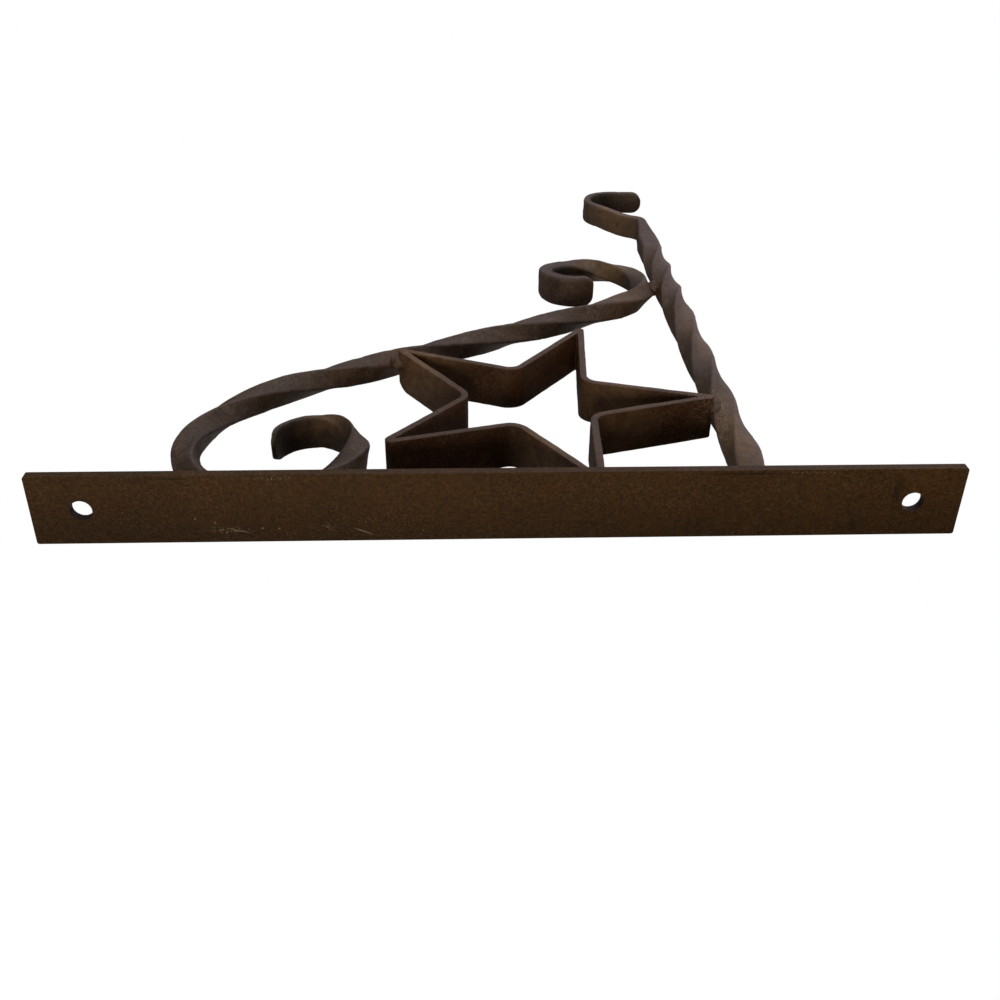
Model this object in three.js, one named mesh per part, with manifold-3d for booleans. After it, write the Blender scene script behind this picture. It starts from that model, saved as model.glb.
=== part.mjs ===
// A wrought iron plant hanger bracket, in millimetres, as it hangs on a wall.
// X points out from the wall, Z up the wall and Y sideways.
// The origin is the middle of the plate's back face.
// All bars are bent in one flat plane, so their shapes are drawn on a plan of two lengths, out and up.

import * as THREE from "three";
import { mergeVertices } from "three/addons/utils/BufferGeometryUtils.js";
import Module from "manifold-3d";

// Wall plate, a flat bar
const plateLength = 457.2;
const plateWidth = 38.1;
const plateThickness = 4.8;
const plateCornerRadius = 1.2;
const screwHoleDiameter = 10.7;
const screwHoleFromEnd = 24.5;

// Square bars of the arm and the brace
const armBar = 14.6;
const braceBar = 12.7;
const barArris = 1.3;
const ringSpacing = 4;

// Ends of the bars that are hammered out flat and bent to a curl or a hook
// Thickness goes from the bar's to that of the shoulder over the flare, and on to that of the tip
const hookFlat = { length: 170, flare: 38, width: 17.6, shoulder: 7.6, thickness: 5.6 };
const wallFlat = { length: 74, flare: 30, width: 18.5, shoulder: 4.8, thickness: 2.8 };
const armFlat = { length: 76, flare: 48, width: 21, shoulder: 8.5, thickness: 6 };
const wallTipRounding = 9;
const armTipRounding = 7;
const hookTipRounding = 8.6;

// Hanger arm, which turns upward a little over its length
const armHeight = 129.9;
const armSweep = 0.45;
const armReach = 433.5;
const armTwists = [{ length: 254, quarterTurns: 4.1 }, { length: 110, quarterTurns: 2.46 }];

// Hook at the end of the arm
const hookBendAngle = 62;
const hookBendRadius = 9;
const hookEaseAngle = 28;
const hookEaseRadius = 35;
const hookLead = 31.6;
const hookRadius = 21;
const hookTipLength = 28.5;

// Scroll brace, from the eye of the wall scroll to the eye of the arm scroll
const wallEyeRadius = 22;
const wallEyeAngle = 172.4;
const wallScrollRadius = 43.5;
const wallScrollAngle = 95.8;
const wallSweepAngle = 32.4;
const shoulderRadius = 49.2;
const shoulderAngle = 76.6;
const easeRadius = 117.6;
const easeAngle = 40.5;
const runOutRadius = 185;
const runOutAngle = 12.1;
const armScrollRadius = 37.6;
const armScrollAngle = 174.7;
const armEyeRadius = 20;
const armEyeAngle = 179;
const wallScrollBelowMiddle = 119;
const firstTwist = { fromTip: 36, length: 42, quarterTurns: 1 };
const lastTwist = { length: 25, quarterTurns: 0.65 };
const braceQuarterTurns = 10;

// Five pointed star of flat strip, set on edge
const starTipRadius = 99.2;
// The bends between the tips, in order from the tip at the arm, outward and down
const starWaistRadii = [34.6, 36, 37.6, 34.6, 38];
const starWaistShift = 2.4;
const starPoints = 5;
const starTurn = -2.5;
const stripWidth = 25.4;
const stripThickness = 4;
const stripBendRadius = 9;
const starTipBendRadius = 2.4;
const lowTipBendRadius = 3.6;
const lowTip = 6;
const starTipGroundOff = 1.4;
const starIntoArm = 0.6;
const starCornerCut = 9;

// Pieces that are welded together stand this far apart, so that their faces never cross
const jointGap = 0.3;
// Room between the arm scroll and the arm, filled by a weld
const braceToArm = 5;

// Weld beads: how far each one reaches outward, sideways and upward from its middle
const armFootBead = { outward: 5.5, sideways: 12, upward: 12 };
const braceSeatBead = { outward: 5.5, sideways: 9.5, upward: 15 };
const starFootBead = { outward: 5, sideways: 9, upward: 8 };
const starArmBead = { outward: 13, sideways: 5.5, upward: 7 };
const starBraceBead = { outward: 11, sideways: 5.5, upward: 8 };
const braceArmBead = { outward: 10, sideways: 6, upward: 4.6 };
const beadLump = 0.12;
const beadLumpsAround = 3;

// Fineness of round shapes
const holeSegments = 28;
const cornerSegments = 4;
const beadSegments = 16;
// Rounds of fitting the brace's length to the arm
const fitRounds = 4;

const degree = Math.PI / 180;
const plateFace = plateThickness + jointGap;

const wasm = await Module();
wasm.setup();

// A closed geometry as a solid that can be cut and joined
function toSolid(geometry) {
  const bare = geometry.clone();
  bare.deleteAttribute("normal");
  bare.deleteAttribute("uv");
  const merged = mergeVertices(bare, 1e-4);
  const vertProperties = new Float32Array(merged.attributes.position.array);
  const triVerts = new Uint32Array(merged.index.array);
  return new wasm.Manifold(new wasm.Mesh({ numProp: 3, vertProperties, triVerts }));
}

// A solid back to a geometry
function toGeometry(solid) {
  const mesh = solid.getMesh();
  const geometry = new THREE.BufferGeometry();
  geometry.setAttribute("position", new THREE.BufferAttribute(new Float32Array(mesh.vertProperties), 3));
  geometry.setIndex(new THREE.BufferAttribute(new Uint32Array(mesh.triVerts), 1));
  geometry.computeVertexNormals();
  return geometry;
}

function iron(colour) {
  return new THREE.MeshStandardMaterial({ color: colour, roughness: 0.6, metalness: 0.5 });
}

function named(name, geometry, colour) {
  const mesh = new THREE.Mesh(geometry, iron(colour));
  mesh.name = name;
  return mesh;
}

// Line of a bent bar on the plan. A heading of 0 points up the wall and 90 points out from it.
// A move is a straight length, or a bend with a radius and an angle that is positive from up to out.
class BarLine {
  constructor(out, up, heading) {
    this.moves = [];
    this.out = out;
    this.up = up;
    this.heading = heading * degree;
    this.length = 0;
  }

  straight(length) {
    return this.add({ length, curvature: 0 });
  }

  bend(radius, angle) {
    return this.add({ length: radius * Math.abs(angle) * degree, curvature: Math.sign(angle) / radius });
  }

  add(move) {
    const start = { out: this.out, up: this.up, heading: this.heading, from: this.length };
    this.moves.push({ ...move, ...start });
    const end = this.along(this.moves.at(-1), move.length);
    this.out = end.out;
    this.up = end.up;
    this.heading = end.heading;
    this.length += move.length;
    return this;
  }

  along(move, distance) {
    const heading = move.heading + move.curvature * distance;
    if (move.curvature === 0) {
      const out = move.out + Math.sin(heading) * distance;
      const up = move.up + Math.cos(heading) * distance;
      return { out, up, heading };
    }
    const radius = 1 / move.curvature;
    const out = move.out + radius * (Math.cos(move.heading) - Math.cos(heading));
    const up = move.up + radius * (Math.sin(heading) - Math.sin(move.heading));
    return { out, up, heading };
  }

  at(distance) {
    const move = this.moves.findLast((each) => each.from <= distance) ?? this.moves[0];
    return this.along(move, distance - move.from);
  }
}

// Distances along a bar where it gets a ring of points, closer together at rounded ends
function ringDistances(length, startRounding, endRounding) {
  const rings = Math.round((length - startRounding - endRounding) / ringSpacing);
  const middle = length - startRounding - endRounding;
  const distances = [];
  for (let step = 0; step < cornerSegments && startRounding > 0; step += 1) {
    distances.push(startRounding * (1 - Math.cos((step / cornerSegments) * 90 * degree)));
  }
  for (let ring = 0; ring <= rings; ring += 1) {
    distances.push(startRounding + (middle * ring) / rings);
  }
  for (let step = 1; step <= cornerSegments && endRounding > 0; step += 1) {
    distances.push(length - endRounding * (1 - Math.sin((step / cornerSegments) * 90 * degree)));
  }
  return distances;
}

// Total twist in radians at a distance along stretches that follow each other from a start
function twistAt(distance, start, stretches) {
  let from = start;
  let twist = 0;
  for (const stretch of stretches) {
    const share = THREE.MathUtils.clamp((distance - from) / stretch.length, 0, 1);
    twist += share * stretch.quarterTurns * 90 * degree;
    from += stretch.length;
  }
  return twist;
}

// Width and thickness of a bar's flattened end, at a distance from its tip
function flattened(fromTip, flat, bar) {
  const flare = THREE.MathUtils.smoothstep(flat.length - fromTip, 0, flat.flare);
  const taper = THREE.MathUtils.clamp(fromTip / (flat.length - flat.flare), 0, 1);
  const flatThickness = THREE.MathUtils.lerp(flat.thickness, flat.shoulder, taper);
  return {
    width: THREE.MathUtils.lerp(bar, flat.width, flare),
    thickness: THREE.MathUtils.lerp(bar, flatThickness, flare),
  };
}

// Half the width that a rounded tip takes off, at a distance from the tip
function tipRounding(fromTip, rounding) {
  if (fromTip >= rounding) return 0;
  return rounding - Math.sqrt(rounding ** 2 - (rounding - fromTip) ** 2);
}

// Square section of a bar with its arrises taken off
function barSection(size) {
  const half = size / 2;
  const edge = half - barArris;
  const corners = [[half, -edge], [half, edge], [edge, half], [-edge, half]];
  const opposite = corners.map(([x, y]) => [-x, -y]);
  return new THREE.Shape([...corners, ...opposite].map(([x, y]) => new THREE.Vector2(x, y)));
}

// A straight square bar is twisted, its ends are hammered flat, and then it is bent along its line.
// The shape says the bar's twist, width and thickness at each distance.
// Spare metal makes it fatter all round.
function forgedBar(line, distances, shapeAt, bar, spare) {
  const rings = distances.length - 1;
  const size = bar + 2 * spare;
  const settings = { depth: rings, steps: rings, bevelEnabled: false };
  const geometry = new THREE.ExtrudeGeometry(barSection(size), settings);
  const points = geometry.attributes.position;
  for (let index = 0; index < points.count; index += 1) {
    const distance = distances[Math.round(points.getZ(index))];
    const place = line.at(distance);
    const shape = shapeAt(distance);
    const corner = new THREE.Vector2(points.getX(index), points.getY(index));
    corner.rotateAround(new THREE.Vector2(0, 0), shape.twist);
    const inward = corner.x * (shape.thickness + 2 * spare) / size;
    const sideways = corner.y * (shape.width + 2 * spare) / size;
    const out = place.out + inward * Math.cos(place.heading);
    const up = place.up - inward * Math.sin(place.heading);
    points.setXYZ(index, out, sideways, up);
  }
  geometry.computeVertexNormals();
  return geometry;
}

// Wall plate: a flat bar with rounded corners and a screw hole near each end
function platePlan() {
  const halfLength = plateLength / 2;
  const halfWidth = plateWidth / 2;
  const corners = [
    new THREE.Vector2(-halfWidth, -halfLength), new THREE.Vector2(halfWidth, -halfLength),
    new THREE.Vector2(halfWidth, halfLength), new THREE.Vector2(-halfWidth, halfLength),
  ];
  const plan = new THREE.Shape(roundedLoop(corners, corners.map(() => plateCornerRadius)));
  for (const side of [-1, 1]) {
    const hole = new THREE.Path();
    hole.absarc(0, side * (halfLength - screwHoleFromEnd), screwHoleDiameter / 2, 0, 2 * Math.PI, true);
    plan.holes.push(hole);
  }
  return plan;
}

function wallPlate() {
  const settings = { depth: plateThickness, bevelEnabled: false, curveSegments: holeSegments };
  const geometry = new THREE.ExtrudeGeometry(platePlan(), settings);
  // The plan's sideways, up and thickness become Y, Z and X
  const turn = new THREE.Matrix4().makeBasis(
    new THREE.Vector3(0, 1, 0), new THREE.Vector3(0, 0, 1), new THREE.Vector3(1, 0, 0),
  );
  return geometry.applyMatrix4(turn);
}

// The space that the plate takes up, with the joint gap in front of it
function plateSpace() {
  const geometry = new THREE.BoxGeometry(plateFace + plateWidth, 2 * plateWidth, 2 * plateLength);
  return geometry.translate((plateFace - plateWidth) / 2, 0, 0);
}

// Points of a closed loop whose corners are rounded
function roundedLoop(corners, radii) {
  const points = [];
  corners.forEach((corner, index) => {
    const before = corners.at(index - 1).clone().sub(corner).normalize();
    const after = corners[(index + 1) % corners.length].clone().sub(corner).normalize();
    const halfAngle = Math.acos(THREE.MathUtils.clamp(before.dot(after), -1, 1)) / 2;
    const middle = before.clone().add(after).normalize();
    const centre = corner.clone().addScaledVector(middle, radii[index] / Math.sin(halfAngle));
    const first = corner.clone().addScaledVector(before, radii[index] / Math.tan(halfAngle)).sub(centre);
    const turned = (Math.PI - 2 * halfAngle) * -Math.sign(before.cross(after));
    for (let step = 0; step <= cornerSegments; step += 1) {
      const spoke = first.clone().rotateAround(new THREE.Vector2(0, 0), (turned * step) / cornerSegments);
      points.push(centre.clone().add(spoke));
    }
  });
  return points;
}

// Corners of a loop moved sideways by a distance, with straight sides kept parallel
function offsetCorners(corners, distance) {
  return corners.map((corner, index) => {
    const before = corner.clone().sub(corners.at(index - 1)).normalize();
    const after = corners[(index + 1) % corners.length].clone().sub(corner).normalize();
    const normal = new THREE.Vector2(before.y + after.y, -before.x - after.x).normalize();
    const cosine = normal.x * after.y - normal.y * after.x;
    return corner.clone().addScaledVector(normal, distance / cosine);
  });
}

// Hanger arm: stands out from the plate, bends down and curls back up to the hook
function armLine() {
  const line = new BarLine(plateFace, armHeight, 90);
  const bendSetback = hookBendRadius * Math.tan((hookBendAngle / 2) * degree);
  const length = armReach - plateFace - bendSetback;
  line.bend(length / (armSweep * degree), -armSweep);
  line.bend(hookBendRadius, hookBendAngle + armSweep);
  line.bend(hookEaseRadius, -hookEaseAngle);
  line.straight(hookLead);
  line.bend(hookRadius, -(90 + hookBendAngle - hookEaseAngle));
  line.straight(hookTipLength);
  return line;
}

const hanger = armLine();

// Height of the arm's middle line at a distance from the wall
function armHeightAt(out) {
  return hanger.at(out - plateFace).up;
}

const armTwistLength = armTwists.reduce((sum, stretch) => sum + stretch.length, 0);
const armTwistEnd = twistAt(armTwistLength, 0, armTwists);

function armShape(distance) {
  const twist = twistAt(distance, 0, armTwists) - armTwistEnd;
  const fromTip = hanger.length - distance;
  const { width, thickness } = flattened(fromTip, hookFlat, armBar);
  return { twist, thickness, width: width - 2 * tipRounding(fromTip, hookTipRounding) };
}

function hangerArm(spare) {
  return forgedBar(hanger, ringDistances(hanger.length, 0, hookTipRounding), armShape, armBar, spare);
}

// Scroll brace. Its wall scroll touches the plate at the seat, so its line starts there and runs both ways.
function braceEyeStart(seatOut) {
  const line = new BarLine(seatOut, -wallScrollBelowMiddle, 0);
  line.bend(wallScrollRadius, wallScrollAngle).bend(wallEyeRadius, wallEyeAngle);
  return line;
}

// The same line from the eye of the wall scroll to the eye of the arm scroll.
// The straight run is as long as it takes for the arm scroll to come up against the arm.
function braceLine(seatOut, straightRun) {
  const eye = braceEyeStart(seatOut);
  const line = new BarLine(eye.out, eye.up, eye.heading / degree + 180);
  line.bend(wallEyeRadius, -wallEyeAngle);
  line.bend(wallScrollRadius, -(wallScrollAngle + wallSweepAngle));
  line.bend(shoulderRadius, -shoulderAngle);
  line.bend(easeRadius, -easeAngle);
  line.straight(straightRun);
  line.bend(runOutRadius, runOutAngle);
  line.bend(armScrollRadius, armScrollAngle);
  line.bend(armEyeRadius, armEyeAngle);
  return line;
}

// Highest point of the arm scroll, where the bar runs as the arm does
function armScrollTop(line) {
  const scroll = line.moves[6];
  const wholeTurns = 2 * Math.PI * Math.round(scroll.heading / (2 * Math.PI));
  const quarter = 90 * degree - (scroll.heading - wholeTurns);
  return line.along(scroll, armScrollRadius * quarter);
}

function fittedBraceLine(seatOut) {
  let line = braceLine(seatOut, 0);
  for (let round = 0; round < fitRounds; round += 1) {
    const { heading, length } = line.moves[4];
    const top = armScrollTop(line);
    const room = armHeightAt(top.out) - armBar / 2 - braceToArm - braceBar / 2 - top.up;
    line = braceLine(seatOut, length + room / Math.cos(heading));
  }
  return line;
}

function braceTwists(line) {
  const flatAndTwisted = firstTwist.fromTip + firstTwist.length + lastTwist.length + armFlat.length;
  const length = line.length - flatAndTwisted;
  const quarterTurns = braceQuarterTurns - firstTwist.quarterTurns - lastTwist.quarterTurns;
  return [firstTwist, { length, quarterTurns }, lastTwist];
}

function bentBrace(line, spare) {
  const twists = braceTwists(line);
  const shapeAt = (distance) => {
    const twist = twistAt(distance, firstTwist.fromTip, twists);
    const atWall = distance < line.length / 2;
    const fromTip = atWall ? distance : line.length - distance;
    const rounding = atWall ? wallTipRounding : armTipRounding;
    const { width, thickness } = flattened(fromTip, atWall ? wallFlat : armFlat, braceBar);
    return { twist, thickness, width: width - 2 * tipRounding(fromTip, rounding) };
  };
  const distances = ringDistances(line.length, wallTipRounding, armTipRounding);
  return forgedBar(line, distances, shapeAt, braceBar, spare);
}

// The twisted bar's corners stand out further than its faces, so the seat moves until they clear the plate
function seatedBraceLine() {
  const firstSeat = plateFace + braceBar / 2;
  const trial = bentBrace(fittedBraceLine(firstSeat), 0);
  trial.computeBoundingBox();
  return fittedBraceLine(firstSeat + plateFace - trial.boundingBox.min.x);
}

const brace = seatedBraceLine();

function scrollBrace(spare) {
  return bentBrace(brace, spare);
}

// Star: one tip is ground off where it meets the plate and another is let into the arm
const tipAngle = 360 / starPoints;
const plateTipAngle = (starTurn - tipAngle) * degree;
const starOut = plateThickness - starTipGroundOff - starTipRadius * Math.sin(plateTipAngle);
const starTipReach = (starTipRadius + stripThickness / 2) * Math.cos(starTurn * degree);
const starUp = armHeightAt(starOut) - armBar / 2 + starIntoArm - starTipReach;

// Corner of the star's middle line, the first one being the tip at the arm
function starCorner(index) {
  const isTip = index % 2 === 0;
  const angle = (starTurn + (index * tipAngle) / 2) * degree;
  const radius = isTip ? starTipRadius : starWaistRadii[(index - 1) / 2];
  const centreOut = isTip ? starOut : starOut - starWaistShift;
  return new THREE.Vector2(starUp + radius * Math.cos(angle), centreOut + radius * Math.sin(angle));
}

function starBand(spare) {
  const half = stripThickness / 2 + spare;
  const depth = stripWidth + 2 * spare;
  const sharp = 0.4;
  const corners = Array.from({ length: 2 * starPoints }, (unused, index) => starCorner(index));
  const tipRadius = (index) => (index === lowTip ? lowTipBendRadius : starTipBendRadius) + spare;
  const outerRadius = (index) => (index % 2 === 0 ? tipRadius(index) : stripBendRadius - half);
  const outerRadii = corners.map((corner, index) => outerRadius(index));
  const innerRadii = corners.map((corner, index) => (index % 2 === 0 ? sharp : stripBendRadius + half));
  const outline = new THREE.Shape(roundedLoop(offsetCorners(corners, half), outerRadii));
  outline.holes.push(new THREE.Path(roundedLoop(offsetCorners(corners, -half), innerRadii)));
  const geometry = new THREE.ExtrudeGeometry(outline, { depth, bevelEnabled: false });
  geometry.translate(0, 0, -depth / 2);
  // The plan's up, out and depth become Z, X and Y
  const turn = new THREE.Matrix4().makeBasis(
    new THREE.Vector3(0, 0, 1), new THREE.Vector3(1, 0, 0), new THREE.Vector3(0, 1, 0),
  );
  return geometry.applyMatrix4(turn);
}

// The block that takes one corner off the star's tip at the brace
function starCornerBlock() {
  const tip = starCorner(4);
  const size = 2 * starCornerCut;
  const block = new THREE.BoxGeometry(size, size, size).rotateZ(45 * degree);
  const radial = Math.atan2(tip.x - starUp, tip.y - starOut);
  return block.rotateY(-radial).translate(tip.y, -stripWidth / 2, tip.x);
}

// The star with the metal taken off that would run into the plate, the arm and the brace
function fittedStar() {
  const cuts = [plateGap, armGap, braceGap, toSolid(starCornerBlock())];
  return cuts.reduce((left, cut) => left.subtract(cut), toSolid(starBand(0)));
}

// A weld bead: a lumpy drop of metal around a middle, cut back where the pieces are
function weldBead(middle, size, pieces) {
  const geometry = new THREE.SphereGeometry(1, beadSegments, beadSegments / 2);
  const points = geometry.attributes.position;
  for (let index = 0; index < points.count; index += 1) {
    const point = new THREE.Vector3().fromBufferAttribute(points, index);
    const lumps = Math.sin(beadLumpsAround * (point.x + 2 * point.z)) * Math.cos(beadLumpsAround * point.y);
    point.multiplyScalar(1 + beadLump * lumps);
    const { x, y, z } = point;
    points.setXYZ(
      index,
      middle.out + x * size.outward, middle.side + y * size.sideways, middle.up + z * size.upward,
    );
  }
  const drop = pieces.reduce((left, piece) => left.subtract(piece), toSolid(geometry));
  const lumps = drop.decompose().sort((one, other) => other.volume() - one.volume());
  return toGeometry(lumps[0]);
}

const plateGap = toSolid(plateSpace());
const armGap = toSolid(hangerArm(jointGap));
const braceGap = toSolid(scrollBrace(jointGap));
const starSolid = fittedStar();
const starGap = toSolid(starBand(jointGap));

const starPlateTip = starCorner(2 * starPoints - 2);
const starBraceTip = starCorner(4);
const scrollTop = armScrollTop(brace);
const nearFace = stripWidth / 2 - starArmBead.sideways;
const seatUp = -wallScrollBelowMiddle;
const armSide = starUp + starTipReach;
const scrollBeadUp = scrollTop.up + (braceBar + braceToArm) / 2;
const braceTipSide = { out: starBraceTip.y, side: nearFace, up: starBraceTip.x };
const beads = [
  ["weld_arm_plate", { out: plateFace, side: 0, up: armHeight }, armFootBead, [plateGap, armGap]],
  ["weld_brace_plate", { out: plateFace, side: 0, up: seatUp }, braceSeatBead, [plateGap, braceGap]],
  ["weld_star_plate", { out: plateFace, side: 0, up: starPlateTip.x }, starFootBead, [plateGap, starGap]],
  ["weld_star_arm", { out: starOut, side: nearFace, up: armSide }, starArmBead, [armGap, starGap]],
  ["weld_star_brace", braceTipSide, starBraceBead, [braceGap, starGap]],
  ["weld_brace_arm", { out: scrollTop.out, side: 0, up: scrollBeadUp }, braceArmBead, [armGap, braceGap]],
];

const group = new THREE.Group();
group.add(named("wall_plate", wallPlate(), 0x4a3826));
group.add(named("hanger_arm", hangerArm(0), 0x3f342c));
group.add(named("scroll_brace", scrollBrace(0), 0x3a302a));
group.add(named("star", toGeometry(starSolid), 0x43331f));
for (const [name, middle, size, pieces] of beads) {
  group.add(named(name, weldBead(middle, size, pieces), 0x4d4238));
}

export default group;
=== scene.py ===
"""Looks of a wrought iron plant hanger bracket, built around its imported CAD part.

Places are metres in the scene, but shapes are drawn in millimetres and scaled at the end.
X points out from the wall, Z up the wall and Y sideways.
"""

import math

import bpy
import numpy as np
from mathutils import Matrix, Vector, noise


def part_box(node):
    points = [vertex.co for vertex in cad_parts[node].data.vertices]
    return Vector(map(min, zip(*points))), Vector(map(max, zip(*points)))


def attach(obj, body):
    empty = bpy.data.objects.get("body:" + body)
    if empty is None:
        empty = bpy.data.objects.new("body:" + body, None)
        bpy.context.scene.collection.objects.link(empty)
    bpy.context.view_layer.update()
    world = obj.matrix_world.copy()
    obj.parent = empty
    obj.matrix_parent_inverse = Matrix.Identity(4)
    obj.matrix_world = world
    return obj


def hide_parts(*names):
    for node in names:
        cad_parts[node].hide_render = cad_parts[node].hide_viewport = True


MM = 0.001

# Plate, in millimetres like all sizes of the solids
PLATE_THICKNESS = 4.8
JOINT_GAP = 0.3
PLATE_FACE = PLATE_THICKNESS + JOINT_GAP
PLATE_WORN_EDGE = 0.7

# Square bars of the arm and the brace, and how round their arrises are
ARM_BAR = 14.6
BRACE_BAR = 12.7
ARM_ARRIS = 2.1
BRACE_ARRIS = 1.7

# Hammered ends of the bars
HOOK_FLAT = {"length": 170, "flare": 38, "width": 17.6, "shoulder": 7.6, "thickness": 5.6}
WALL_FLAT = {"length": 74, "flare": 30, "width": 18.5, "shoulder": 4.8, "thickness": 2.8}
ARM_FLAT = {"length": 76, "flare": 48, "width": 21, "shoulder": 8.5, "thickness": 6}
WALL_TIP_ROUNDING = 9
ARM_TIP_ROUNDING = 7
HOOK_TIP_ROUNDING = 8.6

# Arm and hook. Bends are a radius and an angle in degrees, twists a length and quarter turns
ARM_HEIGHT = 129.9
ARM_SWEEP = 0.45
ARM_REACH = 433.5
ARM_TWISTS = [(254, 4.1), (110, 2.46)]
HOOK_BEND_ANGLE = 62
HOOK_BEND_RADIUS = 9
HOOK_EASE_ANGLE = 28
HOOK_EASE_RADIUS = 35
HOOK_LEAD = 31.6
HOOK_RADIUS = 21
HOOK_TIP_LENGTH = 28.5

# Scroll brace
WALL_EYE = (22, 172.4)
WALL_SCROLL = (43.5, 95.8)
WALL_SWEEP_ANGLE = 32.4
SHOULDER = (49.2, 76.6)
EASE = (117.6, 40.5)
RUN_OUT = (185, 12.1)
ARM_SCROLL = (37.6, 174.7)
ARM_EYE = (20, 179)
WALL_SCROLL_BELOW_MIDDLE = 119
BRACE_TO_ARM = 5
FIRST_TWIST_FROM_TIP = 36
FIRST_TWIST = (42, 1)
LAST_TWIST = (25, 0.65)
BRACE_QUARTER_TURNS = 10
FIT_ROUNDS = 4

# Star
STAR_TIP_RADIUS = 99.2
STAR_WAIST_RADII = [34.6, 36, 37.6, 34.6, 38]
STAR_WAIST_SHIFT = 2.4
STAR_POINTS = 5
STAR_TURN = -2.5
STRIP_WIDTH = 25.4
STRIP_THICKNESS = 4
STRIP_BEND_RADIUS = 9
TIP_BEND_RADIUS = 2.4
INNER_TIP_BEND_RADIUS = 0.4
LOW_TIP_BEND_RADIUS = 3.6
# Corners of the star that something depends on, counted from the tip at the arm
BRACE_TIP = 4
LOW_TIP = 6
PLATE_TIP = 8
STRIP_ARRIS = 0.4
STAR_TIP_GROUND_OFF = 1.4
STAR_INTO_ARM = 0.6
STAR_CORNER_CUT = 9
# Welds of the star, down from its near rim
WELD_BELOW_RIM = 8

# Distances between the rings of points along the bars
ARM_RING_SPACING = 1.15
BRACE_RING_SPACING = 1.25

# Relief: layers of a height and a feature size, a number of octaves and a seed
HAMMERED = [(0.26, 26, 1, 1), (0.12, 9, 1, 2)]
STRIP_WEAR = [(0.22, 30, 1, 4), (0.1, 6, 2, 5)]
WELD_SPATTER = [(0.55, 7, 1, 6), (0.28, 3.4, 1, 7)]
# Hammer marks: height and size, and the seed that makes their tilts the same in each run
HAMMER_MARKS = (0.2, 11)
HAMMER_SEED = 1
# Lumps of the weld beads: height as a share of the bead's size, and how many fit on it
BEAD_LUMPS = [(0.16, 1.5), (0.07, 3.4), (0.02, 9)]

# Half sizes of the weld beads, outward, sideways and upward
BEAD_SIZES = {
    "weld_arm_plate": (5.5, 12, 12),
    "weld_brace_plate": (5.5, 9.5, 15),
    "weld_star_plate": (5, 9, 8),
    "weld_star_arm": (11, 3.8, 5.2),
    "weld_star_brace": (8.5, 4, 6.5),
    "weld_brace_arm": (9, 4.8, 4.2),
}
FIRST_BEAD_SEED = 3

# Tan rust on the bars and the star, and pale flecks on the arm: middle and reach of each spot
ARM_TAN = [((452, 4, 112), (34, 26, 30)), ((60, 4, 128), (60, 22, 14)), ((200, 4, 132), (60, 8, 8))]
ARM_FLECKS = [((80, 6, 122), (40, 22, 16))]
BRACE_TAN = [((84, 0, -94), (26, 20, 20)), ((330, 2, 88), (34, 24, 30)), ((270, 2, 84), (26, 20, 26))]
STAR_TAN = [((150, 2, -44), (60, 34, 36)), ((40, 2, 26), (34, 26, 34)), ((96, 2, 66), (34, 24, 30))]

# Marks on the plate's back: sideways and up, half width and half height, and a turn in degrees
SCRATCHES = [
    (-13.4, -69, 0.45, 7, 23),
    (-12.6, -129, 0.35, 7, 12),
    (-5.4, -150.3, 0.7, 0.7, 0),
    (-7.8, -140.9, 0.6, 0.6, 0),
    (-11.2, -118, 0.6, 0.9, 0),
    (-11.4, -110, 0.5, 0.6, 0),
]
RUBBED_MARKS = [
    (17.0, -111, 1.6, 15, 0),
    (-11.8, -85, 2.4, 5, 40),
    (-12, -135, 2.4, 14, 0),
    (17.6, 150, 0.8, 20, 0),
]
DARK_MARKS = [
    (14.5, -154, 0.6, 8, 25),
    (17.4, -160, 0.9, 12, 0),
    (3.3, 177, 1.6, 1.8, 0),
    (-13, 176, 5, 3, -20),
    (6, 195, 9, 3.4, 0),
    (17.2, 120, 0.9, 30, 0),
]
# The screw holes' walls lie within these distances of the plate's middle, its edges and ends don't
HOLES_WITHIN_SIDEWAYS = 10
HOLES_WITHIN_UP = 215

# Colours of marks and wear, and of painted shade
PALE_SPECK = (0.30, 0.22, 0.13)
WORN_EDGE = (0.150, 0.110, 0.096)
# Painted shade: near black, for the inner sides of the bars' bends
PAINTED_BEND_SHADE = (0.014, 0.008, 0.004)
TAN = (0.215, 0.130, 0.062)
ORANGE_RUST = (0.150, 0.052, 0.010)
BARE_METAL = (0.34, 0.28, 0.21)
# Dark blotches on the plate, and painted shade on the walls of its screw holes
SOOT_AND_HOLE_SHADE = (0.020, 0.010, 0.004)

# Studio around the bracket, in metres
STUDIO_MIDDLE = (0.2, 0, 0)
LIGHT_DISTANCE = 1.8
FLOOR_BELOW = 0.34
FLOOR_SIZE = 6

# Camera of the photograph: its place, the way it looks and its up direction
CAMERA_PLACE = (-0.46316, 0.28753, -0.02352)
CAMERA_LOOK = (0.8519, -0.5221, 0.0403)
CAMERA_UP = (0.5222, 0.8528, 0.0102)
CAMERA_LENS = 40.07
CAMERA_SENSOR = 36


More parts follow.
